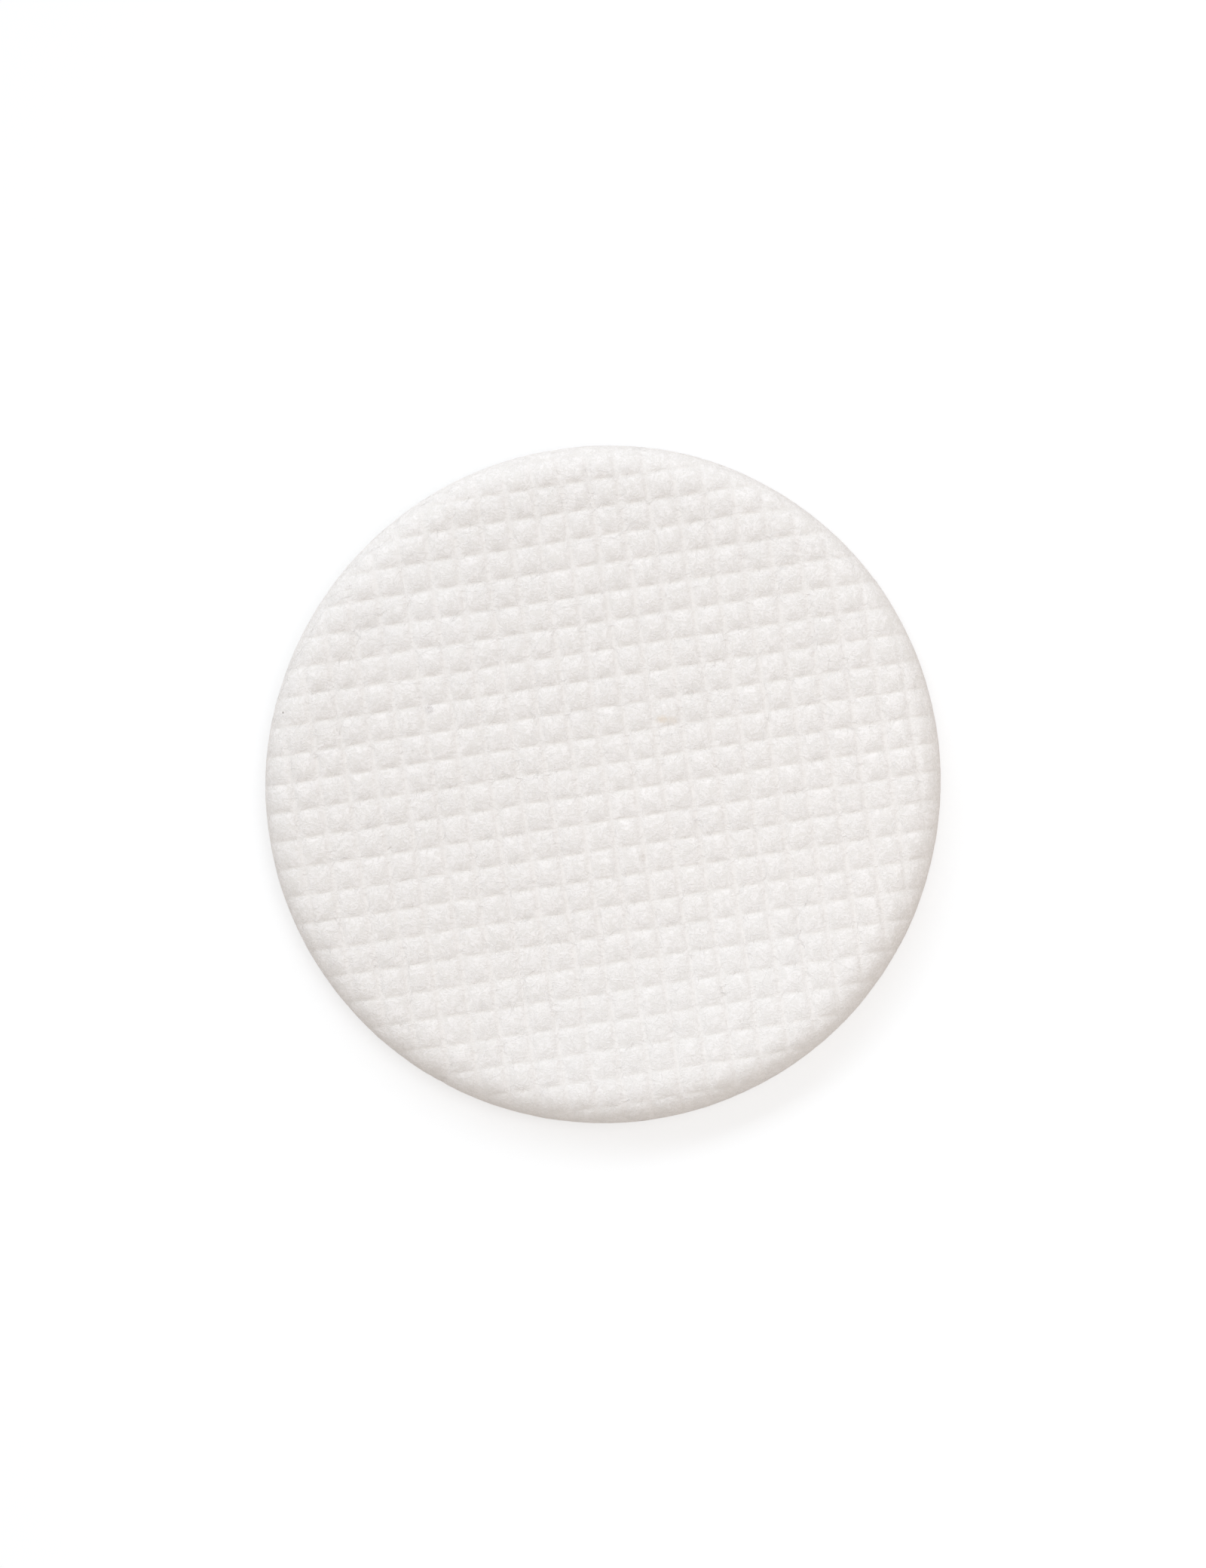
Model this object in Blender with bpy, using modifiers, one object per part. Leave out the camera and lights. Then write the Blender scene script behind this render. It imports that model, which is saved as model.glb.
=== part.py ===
"""Round cosmetic cotton pad: one disc of bonded cotton wadding, cut out with a round die.

The upper face is embossed with a square grid of small pillows. The grooves between them run out
over the rolled rim and die away where it turns down. The underside is smooth and flat.

Units are metres and +Z is up. The origin is the middle of the underside. Seen from above, +X is
to the right and +Y is away from the viewer.
"""

import math

import bmesh
import bpy
from mathutils import Vector

MM = 0.001

# Disc
PAD_DIAMETER = 60.0 * MM
PAD_THICKNESS = 4.2 * MM  # underside to the tops of the pillows
RIM_HEIGHT = 1.6 * MM  # underside to the widest line of the rim
TOP_ROLL_WIDTH = 3.2 * MM  # outline to where the upper face starts to fall
UNDER_ROLL_WIDTH = 1.8 * MM  # outline to the edge of the flat underside

# Embossing
PILLOW_PITCH = 2.5 * MM
GROOVE_DEPTH = 0.25 * MM
PILLOW_FLANK = 0.75 * MM  # bottom of a groove to the top of the pillow beside it
GRID_TURN = math.radians(8.6)  # the round die isn't lined up with the rolls that emboss the web
CROSSING_X = 0.17 * MM  # the groove crossing nearest the middle, along the grid's own axes
CROSSING_Y = -0.68 * MM

# Fineness of the mesh
RIM_SEGMENTS = 96
TOP_ROLL_ANGLES = (50, 70, 90)  # degrees down the roll, the first where the scored face ends
UNDER_ROLL_ANGLES = (60, 30, 0)
WELD_DISTANCE = 0.06 * MM
TURN_TOLERANCE = 0.001 * MM

# Finish
COTTON_COLOUR = (0.84, 0.81, 0.78, 1.0)
COTTON_ROUGHNESS = 0.95

PAD_RADIUS = PAD_DIAMETER / 2
TOP_RADIUS = PAD_RADIUS - TOP_ROLL_WIDTH
FOOT_RADIUS = PAD_RADIUS - UNDER_ROLL_WIDTH


def clear_scene():
    """Remove the objects that a new Blender file starts with."""
    for item in list(bpy.data.objects):
        bpy.data.objects.remove(item, do_unlink=True)


def cotton_material():
    """Return the matt off-white of bleached cotton."""
    material = bpy.data.materials.new("bleached_cotton")
    material.use_nodes = True
    shader = material.node_tree.nodes["Principled BSDF"]
    shader.inputs["Base Color"].default_value = COTTON_COLOUR
    shader.inputs["Roughness"].default_value = COTTON_ROUGHNESS
    shader.inputs["Metallic"].default_value = 0.0
    return material


def half_section():
    """Return the blank's half section, from the middle of the top round the rim to the foot."""
    points = []
    for angle in map(math.radians, TOP_ROLL_ANGLES):
        radius = TOP_RADIUS + TOP_ROLL_WIDTH * math.sin(angle)
        height = RIM_HEIGHT + (PAD_THICKNESS - RIM_HEIGHT) * math.cos(angle)
        points.append((radius, height))
    for angle in map(math.radians, UNDER_ROLL_ANGLES):
        radius = FOOT_RADIUS + UNDER_ROLL_WIDTH * math.sin(angle)
        height = RIM_HEIGHT * (1 - math.cos(angle))
        points.append((radius, height))
    scored_face_height = points[0][1]
    return [(0.0, scored_face_height)] + points + [(0.0, 0.0)]


def turned_blank():
    """Return the blank as a mesh turned from its half section, flat on top and below."""
    section = bpy.data.meshes.new("half_section")
    points = [(radius, 0.0, height) for radius, height in half_section()]
    section.from_pydata(points, [(i, i + 1) for i in range(len(points) - 1)], [])
    guide = bpy.data.objects.new("half_section", section)
    bpy.context.scene.collection.objects.link(guide)
    screw = guide.modifiers.new("turn", "SCREW")
    screw.steps = RIM_SEGMENTS
    screw.render_steps = RIM_SEGMENTS
    screw.use_merge_vertices = True
    screw.merge_threshold = TURN_TOLERANCE
    depsgraph = bpy.context.evaluated_depsgraph_get()
    mesh = bpy.data.meshes.new_from_object(guide.evaluated_get(depsgraph))
    bpy.data.objects.remove(guide, do_unlink=True)
    return mesh


def groove_lines(crossing):
    """Return the grid's lines along one of its axes: each groove's bottom and its two flanks."""
    reach = int(PAD_RADIUS / PILLOW_PITCH) + 1
    return [
        crossing + step * PILLOW_PITCH + side * PILLOW_FLANK
        for step in range(-reach, reach + 1)
        for side in (-1, 0, 1)
    ]


def score(pad):
    """Cut the flat top along the grid's lines, and return the points that it then has."""
    grid_axes = (
        (Vector((math.cos(GRID_TURN), math.sin(GRID_TURN), 0.0)), CROSSING_X),
        (Vector((-math.sin(GRID_TURN), math.cos(GRID_TURN), 0.0)), CROSSING_Y),
    )
    pad.faces.ensure_lookup_table()
    top = [max(pad.faces, key=lambda face: face.calc_center_median().z)]
    for axis, crossing in grid_axes:
        for distance in groove_lines(crossing):
            edges = {edge for face in top for edge in face.edges}
            verts = {vert for face in top for vert in face.verts}
            cut = bmesh.ops.bisect_plane(
                pad, geom=top + list(edges) + list(verts), dist=TURN_TOLERANCE,
                plane_co=axis * distance, plane_no=axis,
            )
            top = [item for item in cut["geom"] if isinstance(item, bmesh.types.BMFace)]
    verts = {vert for face in top for vert in face.verts}
    bmesh.ops.remove_doubles(pad, verts=list(verts), dist=WELD_DISTANCE)
    return [vert for vert in verts if vert.is_valid]


def pillow_rise(along_x, along_y):
    """Return a point's height on its pillow, from 0 in a groove to 1 on the top.

    Both distances run along the grid's own axes, from the crossing near the middle.
    """
    rise = 1.0
    for distance in (along_x, along_y):
        into_pitch = distance % PILLOW_PITCH
        from_groove = min(into_pitch, PILLOW_PITCH - into_pitch)
        rise = min(rise, from_groove / PILLOW_FLANK)
    return rise


def press(verts):
    """Give the scored top its roll and its grooves, which are shallower as the roll turns down."""
    for vert in verts:
        x, y = vert.co.xy
        along_x = x * math.cos(GRID_TURN) + y * math.sin(GRID_TURN) - CROSSING_X
        along_y = y * math.cos(GRID_TURN) - x * math.sin(GRID_TURN) - CROSSING_Y
        into_roll = max(0.0, (vert.co.xy.length - TOP_RADIUS) / TOP_ROLL_WIDTH)
        level = math.sqrt(1 - into_roll ** 2)
        groove = GROOVE_DEPTH * (1 - pillow_rise(along_x, along_y))
        vert.co.z = RIM_HEIGHT + level * (PAD_THICKNESS - RIM_HEIGHT - groove)


def cotton_pad():
    """Return the finished pad as an object."""
    mesh = turned_blank()
    pad = bmesh.new()
    pad.from_mesh(mesh)
    poles = [vert for vert in pad.verts if vert.co.xy.length < TURN_TOLERANCE]
    bmesh.ops.dissolve_verts(pad, verts=poles)
    press(score(pad))
    pad.to_mesh(mesh)
    pad.free()
    mesh.materials.append(cotton_material())
    mesh.shade_smooth()
    return bpy.data.objects.new("cotton_pad", mesh)


def main():
    """Build the pad in a collection of its own."""
    clear_scene()
    collection = bpy.data.collections.new("cotton_pad")
    bpy.context.scene.collection.children.link(collection)
    collection.objects.link(cotton_pad())


main()
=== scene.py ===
"""Looks of a round cosmetic cotton pad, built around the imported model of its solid.

The pad is one disc of bonded cotton wadding. Its upper face is embossed with a square grid of
small pillows, and loose fibres lie over its faces and round its rim. It lies on a pale floor
under plain soft light and is seen from straight above.

Sizes are in metres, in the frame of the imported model: +Z is up and the origin is the middle of
the pad's underside.
"""

from __future__ import annotations

import logging
import math
from dataclasses import dataclass
from enum import Enum
from functools import partial
from typing import Any

import bmesh
import bpy
import numpy as np
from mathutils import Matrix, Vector


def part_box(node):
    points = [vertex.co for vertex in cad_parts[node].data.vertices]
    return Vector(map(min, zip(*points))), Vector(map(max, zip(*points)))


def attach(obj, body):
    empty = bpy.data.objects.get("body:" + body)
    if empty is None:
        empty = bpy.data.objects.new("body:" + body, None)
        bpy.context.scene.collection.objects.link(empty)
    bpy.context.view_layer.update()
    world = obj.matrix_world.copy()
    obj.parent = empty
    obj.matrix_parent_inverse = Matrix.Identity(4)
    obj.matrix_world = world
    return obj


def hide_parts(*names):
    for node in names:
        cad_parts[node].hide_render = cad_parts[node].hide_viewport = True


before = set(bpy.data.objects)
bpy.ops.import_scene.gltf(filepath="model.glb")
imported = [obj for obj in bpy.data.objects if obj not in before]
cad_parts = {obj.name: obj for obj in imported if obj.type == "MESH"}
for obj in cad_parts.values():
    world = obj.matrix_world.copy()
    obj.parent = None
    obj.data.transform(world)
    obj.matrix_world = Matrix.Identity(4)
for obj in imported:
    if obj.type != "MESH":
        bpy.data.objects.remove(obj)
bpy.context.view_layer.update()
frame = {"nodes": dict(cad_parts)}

logging.basicConfig(level=logging.INFO, format="%(message)s")
log = logging.getLogger("cotton_pad")

MM = 0.001
PAD_NODE = "cotton_pad"
PAD_BODY = "root"
WHITE = "#FFFFFF"
NOISE_MEAN = (0.5, 0.5, 0.5)  # of the three values in a noise's colour
LEVEL_PART = (1.0, 1.0, 0.0)  # times a vector, leaves out its height
SOCKET_KINDS = {float: "Float", int: "Int", tuple: "Vector", bpy.types.Material: "Material"}


def linear(hex_colour: str) -> tuple[float, float, float, float]:
    """Turn an sRGB hex colour into the linear RGBA that Blender's sockets take.

    Args:
        hex_colour: The colour as six hex digits, with or without a leading #.

    Returns:
        The linear red, green and blue, with an alpha of 1.
    """
    digits = hex_colour.lstrip("#")
    channels = [int(digits[i:i + 2], 16) / 255 for i in (0, 2, 4)]
    red, green, blue = (c / 12.92 if c <= 0.04045 else ((c + 0.055) / 1.055) ** 2.4 for c in channels)
    return red, green, blue, 1.0


def feed(tree: bpy.types.NodeTree, node: bpy.types.Node, inputs: dict[str | int, Any]) -> None:
    """Give some of a node's inputs their values and links.

    Args:
        tree: The tree that holds the node.
        node: The node.
        inputs: What each input takes, by its name or number: a value, the socket that feeds it, or
            the node whose first output in use feeds it.
    """
    for key, value in inputs.items():
        if isinstance(value, bpy.types.Node):
            value = next(socket for socket in value.outputs if socket.enabled)
        if isinstance(value, bpy.types.NodeSocket):
            tree.links.new(value, node.inputs[key])
        else:
            node.inputs[key].default_value = value


def add_node(
    tree: bpy.types.NodeTree, kind: str, inputs: dict[str | int, Any] | None = None, **settings: Any
) -> bpy.types.Node:
    """Add one node to a material's tree or a geometry tree.

    Args:
        tree: The tree that gets the node.
        kind: The node's type, such as ShaderNodeBump.
        inputs: What each of its inputs takes, as feed reads it.
        **settings: The node's own properties, such as operation or data_type.

    Returns:
        The new node.
    """
    node = tree.nodes.new(kind)
    for name, value in settings.items():
        setattr(node, name, value)
    feed(tree, node, inputs or {})
    return node


def add_object(name: str, data: bpy.types.ID) -> bpy.types.Object:
    """Add an object to the scene.

    Args:
        name: The object's name.
        data: The mesh, lamp or camera that it holds.

    Returns:
        The object.
    """
    item = bpy.data.objects.new(name, data)
    bpy.context.scene.collection.objects.link(item)
    return item


def new_material(name: str) -> tuple[bpy.types.Material, bpy.types.NodeTree, bpy.types.Node]:
    """Start a material.

    Args:
        name: The material's name.

    Returns:
        The material, its tree and the Principled shader in it.
    """
    material = bpy.data.materials.new(name)
    material.use_nodes = True
    return material, material.node_tree, material.node_tree.nodes["Principled BSDF"]


def sizes_of(part: Any) -> dict[str, int | float]:
    """Read the numbers among a dataclass's fields.

    Args:
        part: The dataclass's instance.

    Returns:
        Each number by its field's name as a geometry tree writes it, such as Row Depth.
    """
    return {
        name.replace("_", " ").title(): value
        for name, value in vars(part).items() if isinstance(value, (int, float))}


def new_geometry_tree(name: str, values: dict[str, Any]) -> tuple[bpy.types.NodeTree, Any]:
    """Start a Geometry Nodes tree that takes and gives a geometry.

    Args:
        name: The tree's name.
        values: The tree's named inputs after the geometry, with the values that they will get.

    Returns:
        The tree, and the outputs of its input node, which are read by name.
    """
    tree = bpy.data.node_groups.new(name, "GeometryNodeTree")
    tree.interface.new_socket("Geometry", in_out="INPUT", socket_type="NodeSocketGeometry")
    for label, value in values.items():
        kind = SOCKET_KINDS[type(value)]
        tree.interface.new_socket(label, in_out="INPUT", socket_type=f"NodeSocket{kind}")
    tree.interface.new_socket("Geometry", in_out="OUTPUT", socket_type="NodeSocketGeometry")
    return tree, tree.nodes.new("NodeGroupInput").outputs


def finish_geometry_tree(tree: bpy.types.NodeTree, geometry: Any, material: Any) -> None:
    """End a geometry tree with real geometry that wears one material.

    Args:
        tree: The tree to end.
        geometry: The node or socket that gives the finished shape.
        material: The socket that gives the material.
    """
    real = add_node(tree, "GeometryNodeRealizeInstances", {"Geometry": geometry})
    dressed = add_node(tree, "GeometryNodeSetMaterial", {"Geometry": real, "Material": material})
    add_node(tree, "NodeGroupOutput", {"Geometry": dressed})


def run_geometry_tree(piece: bpy.types.Object, tree: bpy.types.NodeTree, values: dict[str, Any]) -> None:
    """Run a geometry tree on a piece, and keep what it makes as the piece's plain mesh.

    Args:
        piece: The object whose mesh goes in, and gets the result.
        tree: The tree to run.
        values: What the tree's named inputs get.
    """
    modifier = piece.modifiers.new(tree.name, "NODES")
    modifier.node_group = tree
    for item in tree.interface.items_tree:
        if item.in_out == "INPUT" and item.name in values:
            modifier[item.identifier] = values[item.name]
    depsgraph = bpy.context.evaluated_depsgraph_get()
    mesh = bpy.data.meshes.new_from_object(piece.evaluated_get(depsgraph))
    mesh.name = piece.name
    piece.modifiers.clear()
    piece.data = mesh


@dataclass(frozen=True)
class Speck:
    """A place where the cotton is painted another tone, such as a crumb of seed coat, painted shade round
    a nep or a whiter stretch.

    It is round, or drawn out from its place along a line. Its strength is how much of its colour
    covers the cotton in its middle.
    """

    place: tuple[float, float]
    radius: float
    colour: str
    strength: float
    drawn_out: tuple[float, float] = (0.0, 0.0)


@dataclass(frozen=True)
class BleachedWadding:
    """Finish of the pad itself: bleached cotton wadding, bonded and pressed with embossing rolls.

    It gives the eye a matt warm white with no gloss. A mat of very fine fibres makes it grainy, with
    painted shade in the tiny gaps between winding threads. The real fibres are 0.02 mm thick, too fine to
    show, so the grain is drawn coarser. The pressed lines between the columns of pillows are smoother, and
    get painted light and shade. The creases between the rows get painted shade.
    """

    colour: str = "#FAF5F2"
    clump_colour: str = "#F3EEEB"
    # Painted light: the pressed strips get the tone that light and shade give them, not a tone of their
    # own
    strip_painted_light: str = "#F3EEEA"
    # Painted shade along the creases between the rows
    crease_painted_shade: str = "#EDE7E1"
    # Painted shade in the tiny gaps between the threads
    gap_painted_shade: str = "#ECE7E2"
    clump_size: float = 0.9 * MM
    clump_range: tuple[float, float] = (0.38, 0.66)
    mat_size: float = 0.19 * MM
    thread_size: float = 0.7 * MM
    thread_breadth: float = 0.07
    thread_weight: float = 0.4
    gap_range: tuple[float, float] = (0.42, 0.95)
    bump_height: float = 0.03 * MM
    strip_smoothness: float = 0.4
    roughness: float = 0.95
    specular: float = 0.2
    speck_depth: float = 1.2 * MM
    speck_fade: float = 1.0 * MM
    speck_range: tuple[float, float] = (0.6, 1.7)  # where a speck starts and ends to fade, in radii
    specks: tuple[Speck, ...] = (
        Speck((4.85 * MM, 5.68 * MM), 0.42 * MM, "#EAD4B8", 0.2, drawn_out=(1.35 * MM, 0.0)),
        Speck((5.05 * MM, 5.75 * MM), 0.42 * MM, "#E8CDAA", 0.2, drawn_out=(0.15 * MM, 0.0)),
        # Painted shade in the small dent at (-19.0, -5.66) mm
        Speck((-19.1 * MM, -5.75 * MM), 0.08 * MM, "#C0B6AD", 0.5, drawn_out=(0.25 * MM, 0.2 * MM)),
        Speck((-28.38 * MM, 6.34 * MM), 0.1 * MM, "#8C8078", 0.9),
        Speck((3.5 * MM, -6.35 * MM), 0.3 * MM, "#D9D1CB", 0.5, drawn_out=(0.0, -0.35 * MM)),
        # Painted shade round the nep
        Speck((-15.42 * MM, 6.67 * MM), 0.5 * MM, "#D8D0CD", 0.5),
        # Two broad stretches, towards the bottom and the upper left, drawn a little whiter
        Speck((-3.0 * MM, -25.0 * MM), 10.5 * MM, "#FFFEFD", 0.2, drawn_out=(18.0 * MM, 7.0 * MM)),
        Speck((-17.0 * MM, 16.0 * MM), 7.0 * MM, "#FFFDFC", 0.14),
    )

    def stain(self, tree: bpy.types.NodeTree, place: Any, colour: Any) -> Any:
        """Lay the specks over a colour, on the pad's upper part only.

        Args:
            tree: The material's tree.
            place: The Object coordinates.
            colour: What gives the colour before the specks.

        Returns:
            What gives the colour with the specks laid over it.
        """
        add = partial(add_node, tree)
        ragged = add("ShaderNodeTexNoise", {"Vector": place, "Scale": 1 / self.mat_size})
        stained_and_shaded = colour
        core, edge = self.speck_range
        for speck in self.specks:
            apart = add("ShaderNodeVectorMath", {
                0: place, 1: (*speck.place, 0.0)}, operation="SUBTRACT")
            level = add("ShaderNodeVectorMath", {0: apart, 1: LEVEL_PART}, operation="MULTIPLY")
            line = Vector((*speck.drawn_out, 0.0))
            along = add("ShaderNodeVectorMath", {
                0: level, 1: line / max(line.length_squared, self.mat_size ** 2)}, operation="DOT_PRODUCT")
            share = add("ShaderNodeClamp", {"Value": along})
            nearest = add("ShaderNodeVectorMath", {0: line, "Scale": share}, operation="SCALE")
            beside = add("ShaderNodeVectorMath", {0: level, 1: nearest}, operation="SUBTRACT")
            distance = add("ShaderNodeVectorMath", {0: beside}, operation="LENGTH")
            uneven = add("ShaderNodeMath", {
                0: ragged, 1: speck.radius, 2: distance}, operation="MULTIPLY_ADD")
            inside = add("ShaderNodeMapRange", {
                "Value": uneven, "From Min": speck.radius * core, "From Max": speck.radius * edge,
                "To Min": speck.strength, "To Max": 0.0}, interpolation_type="SMOOTHSTEP")
            stained_and_shaded = add("ShaderNodeMix", {
                0: inside, 6: stained_and_shaded, 7: linear(speck.colour)}, data_type="RGBA")
        height = add("ShaderNodeSeparateXYZ", {0: place}).outputs["Z"]
        upper = add("ShaderNodeMapRange", {
            "Value": height, "From Min": self.speck_depth,
            "From Max": self.speck_depth + self.speck_fade})
        return add("ShaderNodeMix", {0: upper, 6: colour, 7: stained_and_shaded}, data_type="RGBA")

    def material(self) -> bpy.types.Material:
        """Make the finish, which reads Object coordinates and the pad's own attributes.

        Returns:
            The material.
        """
        material, tree, shader = new_material("bleached_wadding")
        add = partial(add_node, tree)
        place = add("ShaderNodeTexCoord").outputs["Object"]

        clumps = add("ShaderNodeTexNoise", {
            "Vector": place, "Scale": 1 / self.clump_size, "Detail": 4.0, "Roughness": 0.6})
        mottled = add("ShaderNodeMapRange", {
            "Value": clumps, "From Min": self.clump_range[0], "From Max": self.clump_range[1]})
        strip = add("ShaderNodeAttribute", attribute_name="strip").outputs["Fac"]
        crease = add("ShaderNodeAttribute", attribute_name="crease").outputs["Fac"]

        # Threads wind and cross where a noise passes its mean, and lie over the mat
        mat = add("ShaderNodeTexNoise", {
            "Vector": place, "Scale": 1 / self.mat_size, "Detail": 1.5, "Roughness": 0.5,
            "Distortion": 1.0})
        winding = add("ShaderNodeTexNoise", {
            "Vector": place, "Scale": 1 / self.thread_size, "Detail": 1.5, "Distortion": 1.0})
        off_centre = add("ShaderNodeVectorMath", {
            0: winding.outputs["Color"], 1: NOISE_MEAN}, operation="SUBTRACT")
        folded = add("ShaderNodeVectorMath", {0: off_centre}, operation="ABSOLUTE")
        lines = add("ShaderNodeSeparateXYZ", {0: folded}).outputs
        nearest = add("ShaderNodeMath", {0: lines["X"], 1: lines["Y"]}, operation="MINIMUM")
        threads = add("ShaderNodeMapRange", {
            "Value": nearest, "From Max": self.thread_breadth, "To Min": 1.0, "To Max": 0.0},
            interpolation_type="SMOOTHSTEP")
        relief = add("ShaderNodeMath", {
            0: threads, 1: self.thread_weight, 2: mat}, operation="MULTIPLY_ADD")
        firmness = add("ShaderNodeMath", {
            0: strip, 1: -self.strip_smoothness, 2: 1.0}, operation="MULTIPLY_ADD")
        # Painted shade in the gaps between the threads, weaker on the smoother strips
        gaps = add("ShaderNodeMapRange", {
            "Value": relief, "From Min": self.gap_range[0], "From Max": self.gap_range[1],
            "To Min": firmness, "To Max": 0.0})
        bump = add("ShaderNodeBump", {
            "Strength": firmness, "Distance": self.bump_height, "Height": relief})

        # The clumps mottle the cotton's own tone; the strips get painted light and shade, and the creases
        # and the gaps between threads get painted shade
        colour = linear(self.colour)
        for share, tone in (
            (mottled, self.clump_colour), (strip, self.strip_painted_light),
            (crease, self.crease_painted_shade), (gaps, self.gap_painted_shade),
        ):
            colour = add("ShaderNodeMix", {0: share, 6: colour, 7: linear(tone)}, data_type="RGBA")
        feed(tree, shader, {
            "Base Color": self.stain(tree, place, colour), "Normal": bump,
            "Roughness": self.roughness, "Specular IOR Level": self.specular})
        return material


@dataclass(frozen=True)
class CottonLint:
    """Finish of the loose fibres: single bleached cotton hairs.

    It gives the eye fine white lines with a faint silky gloss. They are painted a little whiter than the
    wadding, as painted light that makes up for the shade on the thin hairs' sides.
    """

    # Painted light: whiter than the wadding, to make up for the shade on the thin hairs' sides
    colour: str = "#FEFCFB"
    deep_colour: str = "#F4F0ED"
    tone_size: float = 1.5 * MM
    roughness: float = 0.7
    specular: float = 0.2

    def material(self) -> bpy.types.Material:
        """Make the finish, whose tone shifts a little along the hairs.

        Returns:
            The material.
        """
        material, tree, shader = new_material("cotton_lint")
        add = partial(add_node, tree)
        place = add("ShaderNodeTexCoord").outputs["Object"]
        tone = add("ShaderNodeTexNoise", {"Vector": place, "Scale": 1 / self.tone_size})
        colour = add("ShaderNodeMix", {
            0: tone, 6: linear(self.colour), 7: linear(self.deep_colour)}, data_type="RGBA")
        feed(tree, shader, {
            "Base Color": colour, "Roughness": self.roughness, "Specular IOR Level": self.specular})
        return material


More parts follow.
